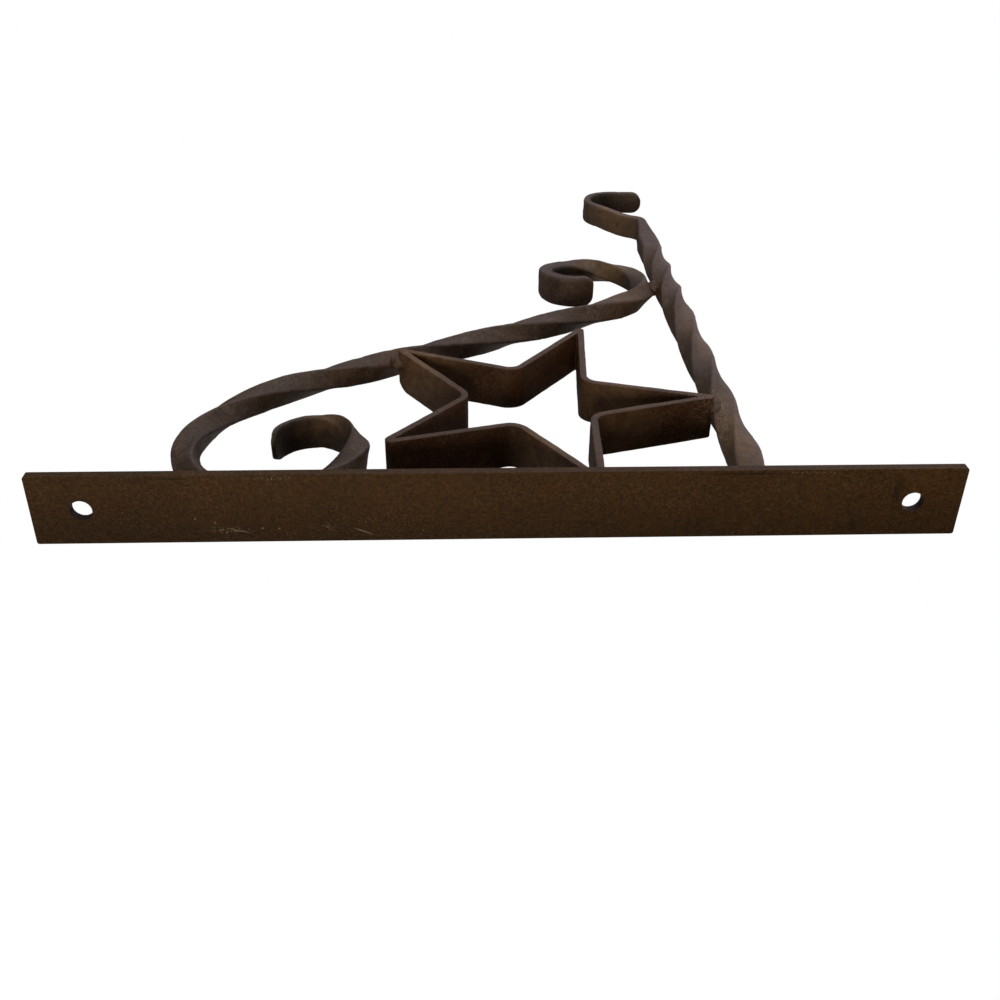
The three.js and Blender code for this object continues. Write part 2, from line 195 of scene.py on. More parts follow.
class BarLine:
    """Line of a bent bar on the plan of out and up. Heading 0 is up and 90 is out from the wall."""

    def __init__(self, out, up, heading):
        self.moves = []
        self.out = out
        self.up = up
        self.heading = math.radians(heading)
        self.length = 0.0

    def straight(self, length):
        return self.add(length, 0.0)

    def bend(self, radius, angle):
        return self.add(radius * math.radians(abs(angle)), math.copysign(1 / radius, angle))

    def add(self, length, curvature):
        move = {
            "length": length, "curvature": curvature, "from": self.length,
            "out": self.out, "up": self.up, "heading": self.heading,
        }
        self.moves.append(move)
        self.out, self.up, self.heading = self.along(move, length)
        self.length += length
        return self

    def along(self, move, distance):
        start = move["heading"]
        heading = start + move["curvature"] * distance
        if move["curvature"] == 0:
            return (
                move["out"] + math.sin(heading) * distance,
                move["up"] + math.cos(heading) * distance,
                heading,
            )
        radius = 1 / move["curvature"]
        return (
            move["out"] + radius * (math.cos(start) - math.cos(heading)),
            move["up"] + radius * (math.sin(heading) - math.sin(start)),
            heading,
        )

    def move_at(self, distance):
        chosen = self.moves[0]
        for move in self.moves:
            if move["from"] <= distance:
                chosen = move
        return chosen

    def at(self, distance):
        move = self.move_at(distance)
        return self.along(move, distance - move["from"])

    def curl_at(self, distance):
        """Curvature of the line's long bends, averaged over a little of it on both sides."""
        spread = 12
        shortest = 25
        moves = [self.move_at(step) for step in np.linspace(distance - spread, distance + spread, 7)]
        return float(np.mean([move["curvature"] if move["length"] > shortest else 0.0 for move in moves]))


def smoothstep(value, low, high):
    share = min(max((value - low) / (high - low), 0.0), 1.0)
    return share * share * (3 - 2 * share)


def lerp(start, end, share):
    return start + (end - start) * share


def twist_at(distance, start, stretches):
    twist = 0.0
    begin = start
    for length, quarter_turns in stretches:
        share = min(max((distance - begin) / length, 0.0), 1.0)
        twist += share * quarter_turns * math.pi / 2
        begin += length
    return twist


def flattened(from_tip, flat, bar):
    """Width and thickness of a hammered end at a distance from its tip."""
    flare = smoothstep(flat["length"] - from_tip, 0, flat["flare"])
    taper = min(from_tip / (flat["length"] - flat["flare"]), 1.0)
    flat_thickness = lerp(flat["thickness"], flat["shoulder"], taper)
    return lerp(bar, flat["width"], flare), lerp(bar, flat_thickness, flare)


def tip_rounding(from_tip, rounding):
    if from_tip >= rounding:
        return 0.0
    return rounding - math.sqrt(rounding**2 - (rounding - from_tip) ** 2)


def arm_line():
    line = BarLine(PLATE_FACE, ARM_HEIGHT, 90)
    setback = HOOK_BEND_RADIUS * math.tan(math.radians(HOOK_BEND_ANGLE / 2))
    line.bend((ARM_REACH - PLATE_FACE - setback) / math.radians(ARM_SWEEP), -ARM_SWEEP)
    line.bend(HOOK_BEND_RADIUS, HOOK_BEND_ANGLE + ARM_SWEEP)
    line.bend(HOOK_EASE_RADIUS, -HOOK_EASE_ANGLE)
    line.straight(HOOK_LEAD)
    line.bend(HOOK_RADIUS, -(90 + HOOK_BEND_ANGLE - HOOK_EASE_ANGLE))
    line.straight(HOOK_TIP_LENGTH)
    return line


def arm_height_at(out):
    return arm_line().at(out - PLATE_FACE)[1]


def arm_shape(line):
    total = twist_at(line.length, 0, ARM_TWISTS)

    def shape(distance):
        from_tip = line.length - distance
        width, thickness = flattened(from_tip, HOOK_FLAT, ARM_BAR)
        return twist_at(distance, 0, ARM_TWISTS) - total, width, thickness, from_tip, HOOK_TIP_ROUNDING

    return shape


def brace_line(seat_out, straight_run):
    seat = BarLine(seat_out, -WALL_SCROLL_BELOW_MIDDLE, 0)
    seat.bend(*WALL_SCROLL).bend(*WALL_EYE)
    line = BarLine(seat.out, seat.up, math.degrees(seat.heading) + 180)
    line.bend(WALL_EYE[0], -WALL_EYE[1])
    line.bend(WALL_SCROLL[0], -(WALL_SCROLL[1] + WALL_SWEEP_ANGLE))
    line.bend(SHOULDER[0], -SHOULDER[1])
    line.bend(EASE[0], -EASE[1])
    line.straight(straight_run)
    line.bend(*RUN_OUT).bend(*ARM_SCROLL).bend(*ARM_EYE)
    return line


def arm_scroll_top(line):
    """Place where the arm scroll runs as the arm does."""
    scroll = line.moves[6]
    whole = 2 * math.pi * round(scroll["heading"] / (2 * math.pi))
    quarter = math.pi / 2 - (scroll["heading"] - whole)
    return line.along(scroll, ARM_SCROLL[0] * quarter)


def fitted_brace_line(seat_out):
    line = brace_line(seat_out, 0)
    for _ in range(FIT_ROUNDS):
        run = line.moves[4]
        top_out, top_up, _ = arm_scroll_top(line)
        room = arm_height_at(top_out) - ARM_BAR / 2 - BRACE_TO_ARM - BRACE_BAR / 2 - top_up
        line = brace_line(seat_out, run["length"] + room / math.cos(run["heading"]))
    return line


def brace_shape(line):
    flat_and_twisted = FIRST_TWIST_FROM_TIP + FIRST_TWIST[0] + LAST_TWIST[0] + ARM_FLAT["length"]
    quarter_turns = BRACE_QUARTER_TURNS - FIRST_TWIST[1] - LAST_TWIST[1]
    stretches = [FIRST_TWIST, (line.length - flat_and_twisted, quarter_turns), LAST_TWIST]

    def shape(distance):
        twist = twist_at(distance, FIRST_TWIST_FROM_TIP, stretches)
        at_wall = distance < line.length / 2
        from_tip = distance if at_wall else line.length - distance
        width, thickness = flattened(from_tip, WALL_FLAT if at_wall else ARM_FLAT, BRACE_BAR)
        return twist, width, thickness, from_tip, WALL_TIP_ROUNDING if at_wall else ARM_TIP_ROUNDING

    return shape


def rotated(x, y, angle):
    return x * math.cos(angle) - y * math.sin(angle), x * math.sin(angle) + y * math.cos(angle)


def bar_section(size, arris_radius):
    """Points around a square bar with round arrises, and how near each one is to an arris."""
    arc_steps = 6
    side_steps = 8
    half = size / 2
    edge = half - arris_radius
    points = []
    arris = []
    for corner in range(4):
        turn = corner * math.pi / 2
        for step in range(arc_steps + 1):
            angle = step / arc_steps * math.pi / 2
            x = edge + arris_radius * math.cos(angle)
            y = edge + arris_radius * math.sin(angle)
            points.append(rotated(x, y, turn))
            arris.append(math.sin(2 * angle) ** 0.5 if 0 < step < arc_steps else 0.2)
        for step in range(1, side_steps):
            x = lerp(edge, -edge, step / side_steps)
            points.append(rotated(x, half, turn))
            arris.append(0.0)
    return points, arris


def ring_distances(length, spacing, start_tip, end_tip):
    """Distances of the rings along a bar, closer together over the last stretch of a free tip."""
    tip_length = 9.0
    tip_steps = 14
    start = tip_length if start_tip else 0.0
    end = length - tip_length if end_tip else length
    middle = np.linspace(start, end, int((end - start) / spacing) + 1)
    eased = tip_length * (1 - np.cos(np.linspace(0, math.pi / 2, tip_steps, endpoint=False)))
    parts = [eased] if start_tip else []
    parts.append(middle)
    if end_tip:
        parts.append((length - eased)[::-1])
    return np.concatenate(parts)


def forged_bar(line, shape, distances, bar, arris_radius):
    """Vertices in millimetres, faces, and weights of a twisted and flattened bar: its arrises, and painted
    shade on the inner sides of its bends.
    """
    tip_softness = 1.6
    width_rounded = 0.97
    thickness_rounded = 0.8
    tightest = 45
    points, arris = bar_section(bar, arris_radius)
    count = len(points)
    vertices = []
    weights = []
    painted_bend_shade = []
    for distance in distances:
        out, up, heading = line.at(distance)
        inside = line.curl_at(distance) * tightest
        twist, width, thickness, from_tip, rounding = shape(distance)
        width -= 2 * tip_rounding(from_tip, rounding) * width_rounded
        thickness -= 2 * tip_rounding(from_tip, tip_softness) * thickness_rounded
        cosine = math.cos(twist)
        sine = math.sin(twist)
        for (x, y), weight in zip(points, arris):
            inward = (x * cosine - y * sine) * thickness / bar
            sideways = (x * sine + y * cosine) * width / bar
            vertices.append((out + inward * math.cos(heading), sideways, up - inward * math.sin(heading)))
            weights.append(weight)
            # Painted shade: a weight that darkens the inner side of the long bends, where shade falls
            painted_bend_shade.append(min(max(inside * (x * cosine - y * sine) / bar * 2, 0.0), 1.0))
    faces = []
    for ring in range(len(distances) - 1):
        for index in range(count):
            after = (index + 1) % count
            low = ring * count
            high = low + count
            faces.append((low + index, low + after, high + after, high + index))
    faces.append(tuple(reversed(range(count))))
    faces.append(tuple(range((len(distances) - 1) * count, len(distances) * count)))
    return np.array(vertices), faces, {"arris": np.array(weights), "painted_bend_shade": np.array(painted_bend_shade)}


def mesh_piece(name, vertices, faces, weights):
    """A mesh object from vertices in millimetres, with named weights for its material."""
    mesh = bpy.data.meshes.new(name)
    mesh.from_pydata((vertices * MM).tolist(), [], faces)
    mesh.update()
    for weight, values in weights.items():
        add_attribute(mesh, weight, values)
    piece = bpy.data.objects.new(name, mesh)
    bpy.context.scene.collection.objects.link(piece)
    mesh.shade_smooth()
    return piece


def add_attribute(mesh, name, values):
    attribute = mesh.attributes.new(name, "FLOAT", "POINT")
    attribute.data.foreach_set("value", values.astype(np.float32))


def vertex_values(mesh, name):
    values = np.zeros(len(mesh.vertices) * 3)
    mesh.vertices.foreach_get(name, values)
    return values.reshape(-1, 3)


def fractal(point, scale, octaves):
    """Noise from about -1 to 1 with features of about the scale, in millimetres."""
    value = 0.0
    amplitude = 1.0
    place = Vector(point) / scale
    for _ in range(octaves):
        value += amplitude * noise.noise(place)
        place *= 2.1
        amplitude *= 0.5
    return value


def hammer_marks(point, scale):
    """Height of slightly tilted flats about as wide as the scale, as a hammer leaves them."""
    place = Vector(point) / scale
    middle = noise.voronoi(place)[1][0]
    return noise.noise_vector(middle * 3.7).dot(place - middle) * 2


def roughen(piece, layers, marks=None, keep=None):
    """Moves vertices along their normals by noise: (height in mm, feature size in mm, octaves, seed)."""
    mesh = piece.data
    places = vertex_values(mesh, "co")
    normals = vertex_values(mesh, "normal")
    chosen = np.ones(len(places)) if keep is None else keep(places / MM)
    moves = np.zeros(len(places))
    for height, scale, octaves, seed in layers:
        offset = np.array([seed * 17.3, seed * 5.1, seed * 29.7])
        for index in np.nonzero(chosen > 0.01)[0]:
            moves[index] += height * fractal(places[index] / MM + offset, scale, octaves)
    if marks is not None:
        height, scale = marks
        for index in np.nonzero(chosen > 0.01)[0]:
            moves[index] += height * hammer_marks(places[index] / MM, scale)
    mesh.vertices.foreach_set("co", (places + normals * (moves * chosen)[:, None] * MM).ravel())
    mesh.update()


def near(middle, reach):
    """A weight that is one at a middle and fades out over a reach, in millimetres."""

    def weight(places):
        distance = np.linalg.norm((places - np.array(middle)) / np.array(reach), axis=1)
        return np.clip(1.6 * (1 - distance), 0, 1)

    return weight


def add_spots(piece, name, spots):
    """Weight of a tint around spots, each a middle and a reach in millimetres."""
    places = vertex_values(piece.data, "co") / MM
    total = np.zeros(len(places))
    for middle, reach in spots:
        total = np.maximum(total, near(middle, reach)(places))
    add_attribute(piece.data, name, total)


def make_arm():
    line = arm_line()
    distances = ring_distances(line.length, ARM_RING_SPACING, False, True)
    bar = forged_bar(line, arm_shape(line), distances, ARM_BAR, ARM_ARRIS)
    piece = mesh_piece("hanger_arm_bar", *bar)
    roughen(piece, HAMMERED, HAMMER_MARKS)
    return piece


def brace_seat():
    """How far out the brace's line runs at the plate, taken from where the CAD brace reaches."""
    first_seat = PLATE_FACE + BRACE_BAR / 2
    line = fitted_brace_line(first_seat)
    coarse_spacing = 4
    distances = ring_distances(line.length, coarse_spacing, True, True)
    vertices, _, _ = forged_bar(line, brace_shape(line), distances, BRACE_BAR, BRACE_ARRIS)
    return first_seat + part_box("scroll_brace")[1].x / MM - vertices[:, 0].max()


def make_brace(line):
    distances = ring_distances(line.length, BRACE_RING_SPACING, True, True)
    bar = forged_bar(line, brace_shape(line), distances, BRACE_BAR, BRACE_ARRIS)
    piece = mesh_piece("scroll_brace_bar", *bar)
    roughen(piece, HAMMERED, HAMMER_MARKS)
    return piece


def star_reach():
    """How far the star's tip at the arm stands above its middle."""
    return (STAR_TIP_RADIUS + STRIP_THICKNESS / 2) * math.cos(math.radians(STAR_TURN))


def star_middle():
    """Out and up of the star's middle."""
    tip_angle = 360 / STAR_POINTS
    plate_tip = math.radians(STAR_TURN - tip_angle)
    star_out = PLATE_THICKNESS - STAR_TIP_GROUND_OFF - STAR_TIP_RADIUS * math.sin(plate_tip)
    return star_out, arm_height_at(star_out) - ARM_BAR / 2 + STAR_INTO_ARM - star_reach()


def star_corner(index):
    """Out and up of a corner of the star's middle line. The first one is the tip at the arm."""
    star_out, star_up = star_middle()
    is_tip = index % 2 == 0
    angle = math.radians(STAR_TURN + index * 180 / STAR_POINTS)
    radius = STAR_TIP_RADIUS if is_tip else STAR_WAIST_RADII[index // 2]
    centre_out = star_out if is_tip else star_out - STAR_WAIST_SHIFT
    return np.array([centre_out + radius * math.sin(angle), star_up + radius * math.cos(angle)])


def offset_corners(corners, distance):
    moved = []
    for index, corner in enumerate(corners):
        before = corner - corners[index - 1]
        before /= np.linalg.norm(before)
        after = corners[(index + 1) % len(corners)] - corner
        after /= np.linalg.norm(after)
        normal = np.array([-(before[1] + after[1]), before[0] + after[0]])
        normal /= np.linalg.norm(normal)
        cosine = -normal[0] * after[1] + normal[1] * after[0]
        moved.append(corner + normal * distance / cosine)
    return moved


def rounded_loop(corners, radii, arc_steps, side_steps):
    """Points of a closed loop with rounded corners and evenly divided sides."""
    arcs = []
    for index, corner in enumerate(corners):
        before = corners[index - 1] - corner
        before /= np.linalg.norm(before)
        after = corners[(index + 1) % len(corners)] - corner
        after /= np.linalg.norm(after)
        half = math.acos(float(np.clip(before @ after, -1, 1))) / 2
        middle = before + after
        middle /= np.linalg.norm(middle)
        centre = corner + middle * radii[index] / math.sin(half)
        first = corner + before * radii[index] / math.tan(half) - centre
        side = math.copysign(1, before[0] * after[1] - before[1] * after[0])
        turned = (math.pi - 2 * half) * -side
        arc = []
        for step in range(arc_steps + 1):
            angle = turned * step / arc_steps
            cosine, sine = math.cos(angle), math.sin(angle)
            spoke = np.array([first[0] * cosine - first[1] * sine, first[0] * sine + first[1] * cosine])
            arc.append(centre + spoke)
        arcs.append(arc)
    points = []
    for index, arc in enumerate(arcs):
        points.extend(arc)
        following = arcs[(index + 1) % len(arcs)][0]
        for step in range(1, side_steps):
            points.append(lerp(arc[-1], following, step / side_steps))
    return points


def star_inner_radius(index, half):
    return INNER_TIP_BEND_RADIUS if index % 2 == 0 else STRIP_BEND_RADIUS + half


def star_outer_radius(index, half):
    if index == LOW_TIP:
        return LOW_TIP_BEND_RADIUS
    return TIP_BEND_RADIUS if index % 2 == 0 else STRIP_BEND_RADIUS - half


def star_loops(half):
    """Outer and inner outline of the star's strip for a given half thickness."""
    arc_steps = 8
    side_steps = 34
    corners = [star_corner(index) for index in range(2 * STAR_POINTS)]
    outer_radii = [star_outer_radius(index, half) for index in range(2 * STAR_POINTS)]
    inner_radii = [star_inner_radius(index, half) for index in range(2 * STAR_POINTS)]
    outer = rounded_loop(offset_corners(corners, half), outer_radii, arc_steps, side_steps)
    inner = rounded_loop(offset_corners(corners, -half), inner_radii, arc_steps, side_steps)
    return np.array(outer), np.array(inner)


def star_layers():
    """Half thickness and height of each layer of points across the strip, with its edges rounded."""
    half = STRIP_THICKNESS / 2
    half_width = STRIP_WIDTH / 2
    edge_steps = 4
    side_steps = 14
    layers = []
    for step in range(edge_steps + 1):
        angle = step / edge_steps * math.pi / 2
        taken_off = STRIP_ARRIS * (1 - math.sin(angle))
        layers.append((half - taken_off, -half_width + STRIP_ARRIS * (1 - math.cos(angle)), math.cos(angle)))
    for step in range(1, side_steps):
        side = lerp(-half_width + STRIP_ARRIS, half_width - STRIP_ARRIS, step / side_steps)
        layers.append((half, side, 0.0))
    for thinner, side, weight in reversed(layers[:edge_steps + 1]):
        layers.append((thinner, -side, weight))
    return layers


def make_star():
    layers = star_layers()
    vertices = []
    weights = []
    for half, side, weight in layers:
        outer, inner = star_loops(half)
        for loop in (outer, inner):
            for out, up in loop:
                vertices.append((out, side, up))
                weights.append(weight)
    count = len(outer)
    rows = len(layers)
    faces = []
    for row in range(rows - 1):
        for index in range(count):
            after = (index + 1) % count
            low = row * 2 * count
            high = low + 2 * count
            faces.append((low + index, high + index, high + after, low + after))
            low += count
            high += count
            faces.append((low + after, high + after, high + index, low + index))
    for row, turned in ((0, False), (rows - 1, True)):
        low = row * 2 * count
        for index in range(count):
            after = (index + 1) % count
            face = (low + index, low + after, low + count + after, low + count + index)
            faces.append(face[::-1] if turned else face)
    piece = mesh_piece("star_strip", np.array(vertices), faces, {"arris": np.array(weights)})
    roughen(piece, STRIP_WEAR)
    fit_star(piece)
    return piece


def fit_star(piece):
    """Grinds the star's tip flat at the plate and takes the corner off its tip at the brace."""
    tip_out, tip_up = star_corner(BRACE_TIP)
    middle_out, middle_up = star_middle()
    radial = np.array([tip_out - middle_out, tip_up - middle_up])
    radial /= np.linalg.norm(radial)
    cut = STAR_CORNER_CUT + STRIP_THICKNESS / 2
    for vertex in piece.data.vertices:
        vertex.co.x = max(vertex.co.x, PLATE_FACE * MM)
        from_tip = (np.array([tip_out, tip_up]) - np.array([vertex.co.x, vertex.co.z]) / MM) @ radial
        if from_tip < cut:
            lowest = -STRIP_WIDTH / 2 + tip_rounding(max(from_tip + STRIP_THICKNESS / 2, 0.0), cut)
            vertex.co.y = max(vertex.co.y, lowest * MM)
    piece.data.update()


def make_plate():
    """The back plate: the CAD solid with its edges rounded."""
    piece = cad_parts["wall_plate"]
    weld = piece.modifiers.new("join_corners", "WELD")
    weld.merge_threshold = 0.01 * MM
    bevel = piece.modifiers.new("worn_edges", "BEVEL")
    bevel.width = PLATE_WORN_EDGE * MM
    bevel.segments = 4
    bevel.limit_method = "ANGLE"
    bevel.angle_limit = math.radians(40)
    bevel.harden_normals = True
    return piece


def make_bead(name, place, size, seed):
    """A weld bead: a lumpy drop at a place, with sizes out, sideways and up, in millimetres."""
    bpy.ops.mesh.primitive_ico_sphere_add(subdivisions=6, radius=1)
    piece = bpy.context.object
    piece.name = name
    piece.data.name = name
    for vertex in piece.data.vertices:
        direction = vertex.co.normalized()
        ripple = 0.0
        for axis, (height, fineness) in enumerate(BEAD_LUMPS):
            shift = Vector((0, 0, 0))
            shift[axis] = seed
            ripple += height * noise.noise(direction * fineness + shift)
        scaled = direction * (1 + ripple)
        vertex.co = Vector((
            max(place[0] + scaled.x * size[0], PLATE_FACE),
            place[1] + scaled.y * size[1],
            place[2] + scaled.z * size[2],
        )) * MM
    piece.data.shade_smooth()
    return piece


class Nodes:
    """Short ways to add and link shader nodes."""

    def __init__(self, name):
        self.material = bpy.data.materials.new(name)
        self.material.use_nodes = True
        self.tree = self.material.node_tree
        self.shader = self.tree.nodes["Principled BSDF"]
        self.coordinates = self.tree.nodes.new("ShaderNodeTexCoord").outputs["Object"]

    def link(self, source, target):
        self.tree.links.new(source, target)

    def noise(self, scale, detail=3.0, roughness=0.55, distortion=0.0, offset=0.0):
        mapping = self.tree.nodes.new("ShaderNodeMapping")
        mapping.inputs["Location"].default_value = (offset, offset * 0.7, offset * 1.3)
        self.link(self.coordinates, mapping.inputs["Vector"])
        texture = self.tree.nodes.new("ShaderNodeTexNoise")
        texture.inputs["Scale"].default_value = scale
        texture.inputs["Detail"].default_value = detail
        texture.inputs["Roughness"].default_value = roughness
        texture.inputs["Distortion"].default_value = distortion
        self.link(mapping.outputs["Vector"], texture.inputs["Vector"])
        return texture.outputs["Fac"]

    def ramp(self, source, stops):
        node = self.tree.nodes.new("ShaderNodeValToRGB")
        elements = node.color_ramp.elements
        while len(elements) < len(stops):
            elements.new(0.5)
        for element, (place, colour) in zip(elements, stops):
            element.position = place
            element.color = (*colour, 1) if isinstance(colour, tuple) else (colour, colour, colour, 1)
        self.link(source, node.inputs["Fac"])
        return node.outputs["Color"]

    def mix(self, factor, first, second, blend="MIX"):
        node = self.tree.nodes.new("ShaderNodeMix")
        node.data_type = "RGBA"
        node.blend_type = blend
        node.clamp_factor = True
        for socket, value in (("Factor", factor), ("A", first), ("B", second)):
            self.feed(node.inputs[socket], value)
        return node.outputs["Result"]

    def math(self, operation, first, second=0.0):
        node = self.tree.nodes.new("ShaderNodeMath")
        node.operation = operation
        self.feed(node.inputs[0], first)
        self.feed(node.inputs[1], second)
        return node.outputs["Value"]

    def feed(self, socket, value):
        if isinstance(value, bpy.types.NodeSocket):
            self.link(value, socket)
        elif isinstance(value, tuple):
            socket.default_value = (*value, 1)
        elif socket.type == "RGBA":
            socket.default_value = (value, value, value, 1)
        else:
            socket.default_value = value

    def attribute(self, name):
        node = self.tree.nodes.new("ShaderNodeAttribute")
        node.attribute_name = name
        return node.outputs["Fac"]

    def separate(self, vector):
        node = self.tree.nodes.new("ShaderNodeSeparateXYZ")
        self.link(vector, node.inputs[0])
        return node.outputs

    def spot(self, sideways, up, wide, tall, turn):
        """A ragged spot on the plate: middle and half sizes in millimetres, and a turn in degrees."""
        through_plate = 0.1
        raggedness = 2.2
        mapping = self.tree.nodes.new("ShaderNodeMapping")
        mapping.vector_type = "TEXTURE"
        mapping.inputs["Location"].default_value = (0, sideways * MM, up * MM)
        mapping.inputs["Rotation"].default_value = (math.radians(turn), 0, 0)
        mapping.inputs["Scale"].default_value = (through_plate, wide * MM, tall * MM)
        self.link(self.coordinates, mapping.inputs["Vector"])
        length = self.tree.nodes.new("ShaderNodeVectorMath")
        length.operation = "LENGTH"
        self.link(mapping.outputs["Vector"], length.inputs[0])
        ragged = self.math("SUBTRACT", self.noise(900, 4, 0.7), 0.5)
        edge = self.math("ADD", length.outputs["Value"], self.math("MULTIPLY", ragged, raggedness))
        return self.ramp(edge, [(0.35, 1.0), (0.9, 0.0)])

    def bump(self, layers):
        """Bump nodes in a chain: (height source, distance in metres, strength)."""
        normal = None
        for height, distance, strength in layers:
            node = self.tree.nodes.new("ShaderNodeBump")
            node.inputs["Distance"].default_value = distance
            node.inputs["Strength"].default_value = strength
            self.link(height, node.inputs["Height"])
            if normal is not None:
                self.link(normal, node.inputs["Normal"])
            normal = node.outputs["Normal"]
        self.link(normal, self.shader.inputs["Normal"])


def body_colour(nodes, patches, grain, shades, rust, rust_amount):
    """Patches of three shades with rust over them, broad changes of tone and a fine grain."""
    dark, body, light = shades
    colour = nodes.ramp(patches, [(0.30, dark), (0.52, body), (0.74, light)])
    rust_clouds = nodes.noise(38, 6, 0.68, 0.6, 11.0)
    rust_mask = nodes.ramp(rust_clouds, [(0.50 - rust_amount * 0.2, 0.0), (0.74, 1.0)])
    colour = nodes.mix(nodes.math("MULTIPLY", rust_mask, rust_amount), colour, rust)
    broad = nodes.ramp(nodes.noise(14, 4, 0.6, 0.4), [(0.30, 0.62), (0.70, 1.35)])
    colour = nodes.mix(0.45, colour, broad, "MULTIPLY")
    colour = nodes.mix(0.9, colour, nodes.ramp(grain, [(0.36, 0.42), (0.64, 1.6)]), "MULTIPLY")
    rusty_grain = nodes.ramp(nodes.noise(430, 4, 0.7, 0.0, 1.3), [(0.52, 0.0), (0.66, 0.55)])
    return nodes.mix(rusty_grain, colour, rust)


def darken_one_edge(nodes, colour):
    """Darkens the plate toward its edge at negative Y."""
    across = nodes.math("MULTIPLY", nodes.separate(nodes.coordinates)["Y"], 26.0)
    share = nodes.math("ADD", across, 0.5)
    return nodes.mix(1.0, colour, nodes.ramp(share, [(0.0, 0.55), (0.75, 1.0)]), "MULTIPLY")


def hole_shade_mask(nodes):
    """One on the walls of the screw holes, where painted shade goes, and zero elsewhere."""
    steep = 0.7
    geometry = nodes.tree.nodes.new("ShaderNodeNewGeometry")
    facing = nodes.separate(geometry.outputs["True Normal"])
    place = nodes.separate(nodes.coordinates)
    is_wall = nodes.math("LESS_THAN", nodes.math("ABSOLUTE", facing["X"]), steep)
    sideways = nodes.math("LESS_THAN", nodes.math("ABSOLUTE", place["Y"]), HOLES_WITHIN_SIDEWAYS * MM)
    upward = nodes.math("LESS_THAN", nodes.math("ABSOLUTE", place["Z"]), HOLES_WITHIN_UP * MM)
    return nodes.math("MULTIPLY", is_wall, nodes.math("MULTIPLY", sideways, upward))


def mark_plate(nodes, colour):
    """Adds the scratches, rubbed specks and dark blotches of the plate's back, and painted shade on the
    walls of the screw holes.
    """
    for mark in DARK_MARKS:
        colour = nodes.mix(nodes.math("MULTIPLY", nodes.spot(*mark), 0.75), colour, SOOT_AND_HOLE_SHADE)
    flecks = nodes.ramp(nodes.noise(1300, 2, 0.5, 0.0, 12.0), [(0.56, 0.0), (0.63, 1.0)])
    for mark in RUBBED_MARKS:
        colour = nodes.mix(nodes.math("MULTIPLY", nodes.spot(*mark), flecks), colour, BARE_METAL)
    for mark in SCRATCHES:
        colour = nodes.mix(nodes.math("MULTIPLY", nodes.spot(*mark), 0.8), colour, BARE_METAL)
    # Painted shade: darkens the walls of the screw holes
    return nodes.mix(hole_shade_mask(nodes), colour, SOOT_AND_HOLE_SHADE)


def wear_bar(nodes, colour, patches, edge_wear):
    """Adds what the weights of a mesh say: worn arrises, painted shade on the inner sides of the bends, tan
    and rust spots and flecks.
    """
    some_arrises = nodes.ramp(patches, [(0.36, 0.35), (0.62, 0.9)])
    worn = nodes.math("MULTIPLY", nodes.attribute("arris"), some_arrises)
    colour = nodes.mix(nodes.math("MULTIPLY", worn, edge_wear), colour, WORN_EDGE)
    # Painted shade: darkens the inner sides of the bends
    colour = nodes.mix(nodes.math("MULTIPLY", nodes.attribute("painted_bend_shade"), 0.62), colour, PAINTED_BEND_SHADE)
    mottled = nodes.ramp(nodes.noise(160, 4, 0.6, 0.4, 6.0), [(0.36, 0.35), (0.6, 0.9)])
    colour = nodes.mix(nodes.math("MULTIPLY", nodes.attribute("tan"), mottled), colour, TAN)
    rust_flecks = nodes.ramp(nodes.noise(330, 4, 0.6, 0.2, 8.0), [(0.46, 0.0), (0.62, 1.0)])
    stained = nodes.math("MULTIPLY", nodes.attribute("stain"), rust_flecks)
    colour = nodes.mix(nodes.math("MULTIPLY", stained, 0.8), colour, ORANGE_RUST)
    rubbed = nodes.ramp(nodes.noise(1000, 3, 0.6, 0.3, 14.0), [(0.53, 0.0), (0.62, 1.0)])
    return nodes.mix(nodes.math("MULTIPLY", nodes.attribute("flecks"), rubbed), colour, BARE_METAL)


def add_specks(nodes, colour, speckle):
    """Adds fine pale specks, more of them in some places than in others."""
    specks = nodes.ramp(nodes.noise(1000, 2, 0.5, 0.0, 2.0), [(0.61, 0.0), (0.67, 1.0)])
    places = nodes.ramp(nodes.noise(30, 3, 0.5, 0.0, 5.0), [(0.45, 0.2), (0.65, 1.0)])
    mask = nodes.math("MULTIPLY", nodes.math("MULTIPLY", specks, places), speckle)
    return nodes.mix(mask, colour, PALE_SPECK)


def patina(name, shades, rust, rust_amount, gloss, speckle, edge_wear=0.0, is_plate=False):
    """Worn iron with a brown patina. Edge wear is for meshes with weights."""
    nodes = Nodes(name)
    patches = nodes.noise(260 if is_plate else 110, 6, 0.7, 0.3, 3.1)
    grain = nodes.noise(640, 5, 0.75, 0.0, 7.7)
    colour = body_colour(nodes, patches, grain, shades, rust, rust_amount)
    if is_plate:
        colour = mark_plate(nodes, darken_one_edge(nodes, colour))
    if edge_wear > 0:
        colour = wear_bar(nodes, colour, patches, edge_wear)
    nodes.link(add_specks(nodes, colour, speckle), nodes.shader.inputs["Base Color"])
    roughness = nodes.ramp(patches, [(0.3, 0.48), (0.7, 0.66)])
    nodes.link(roughness, nodes.shader.inputs["Roughness"])
    nodes.shader.inputs["Metallic"].default_value = 0.0
    nodes.shader.inputs["Specular IOR Level"].default_value = gloss
    nodes.bump([
        (nodes.noise(110, 4, 0.6, 0.2, 9.0), 0.0009, 0.45),
        (grain, 0.0003, 0.4),
        (nodes.noise(1700, 3, 0.6, 0.0, 4.0), 0.00012, 0.4),
    ])
    return nodes.material


def plate_patina():
    shades = ((0.046, 0.023, 0.007), (0.068, 0.036, 0.011), (0.098, 0.058, 0.021))
    rust = (0.105, 0.042, 0.010)
    return patina("plate_patina", shades, rust, rust_amount=0.40, gloss=0.25, speckle=0.35, is_plate=True)


